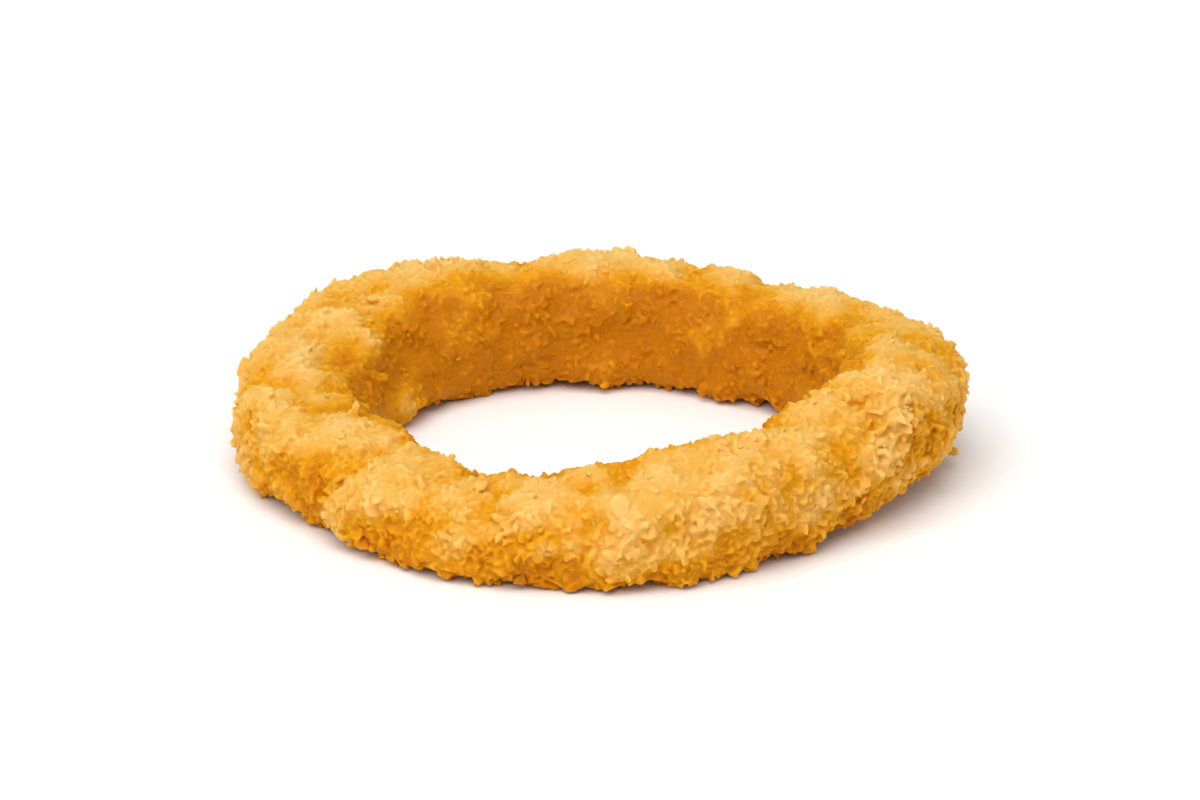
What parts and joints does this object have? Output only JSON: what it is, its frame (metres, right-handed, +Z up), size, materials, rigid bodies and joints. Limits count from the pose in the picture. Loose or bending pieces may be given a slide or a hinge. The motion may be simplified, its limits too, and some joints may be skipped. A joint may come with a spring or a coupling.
{
  "type": "onion ring",
  "caption": "Single fried onion ring in a coarse golden breadcrumb crust, lying flat, with an uneven rounded wall and an open middle.",
  "frame": {"origin": "centre of the bounding box's bottom face: under the middle of the ring, on the surface it lies on", "axes": "+Z up, +X along the ring's longest side, -Y towards the front"},
  "size_m": [0.079, 0.0738, 0.0167],
  "materials": {
    "fried_crust": "rough fried breadcrumb, golden with amber hollows, slightly oily"
  },
  "bodies": {
    "root": {"onion_ring": "fried_crust"}
  },
  "joints": []
}
